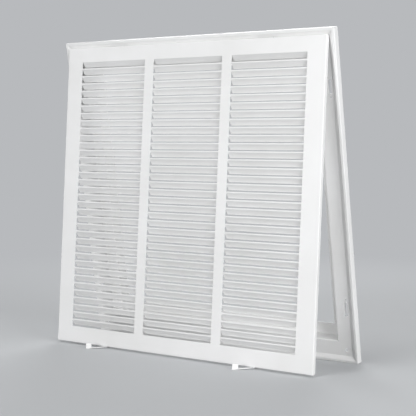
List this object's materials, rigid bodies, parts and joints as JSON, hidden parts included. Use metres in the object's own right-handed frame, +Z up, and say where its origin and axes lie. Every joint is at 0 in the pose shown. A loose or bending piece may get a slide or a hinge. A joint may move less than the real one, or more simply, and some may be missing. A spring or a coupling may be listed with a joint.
{
  "type": "return air filter grille",
  "caption": "Square white steel return air grille with a hinged louvered door, wall frame with filter stop and two swing latches, standing on its open door.",
  "frame": {"origin": "centre of the bounding box on the floor the grille stands on", "axes": "+X across the grille to the viewer's right, +Y from the louvered door towards the wall frame, +Z up; the frame leans back 10.2 degrees and the door forward 3.7 degrees about the hinge line at the top"},
  "size_m": [0.5238, 0.175, 0.5173],
  "materials": {
    "white_powder_coat": "semi-gloss white powder coat on sheet steel",
    "zinc_plated_steel": "bright zinc plate"
  },
  "bodies": {
    "frame": {"frame_top": "white_powder_coat", "frame_bottom": "white_powder_coat", "frame_left": "white_powder_coat", "frame_right": "white_powder_coat", "hinge_frame_leaf_left": "white_powder_coat", "hinge_frame_leaf_right": "white_powder_coat", "hinge_pin_left": "zinc_plated_steel", "hinge_pin_right": "zinc_plated_steel"},
    "door": {"louver_door": "white_powder_coat", "hinge_door_leaf_left": "white_powder_coat", "hinge_door_leaf_right": "white_powder_coat", "latch_washer_left": "zinc_plated_steel", "latch_washer_right": "zinc_plated_steel", "latch_rivet_left": "zinc_plated_steel", "latch_rivet_right": "zinc_plated_steel"},
    "latch_left": {"latch_lever_left": "white_powder_coat"},
    "latch_right": {"latch_lever_right": "white_powder_coat"}
  },
  "joints": [
    {"name": "door_hinge", "type": "hinge", "parent": "frame", "child": "door", "pos_m": [0, -0.02861, 0.5027], "axis": [-1, 0, 0], "range_deg": [-13.9, 106.1]},
    {"name": "latch_left_pivot", "type": "hinge", "parent": "door", "child": "latch_left", "pos_m": [-0.146, -0.05973, 0.00187], "axis": [0, 0.0637, 0.998], "range_deg": [-45, 0]},
    {"name": "latch_right_pivot", "type": "hinge", "parent": "door", "child": "latch_right", "pos_m": [0.146, -0.05973, 0.00187], "axis": [0, 0.0637, 0.998], "range_deg": [-45, 0]}
  ]
}
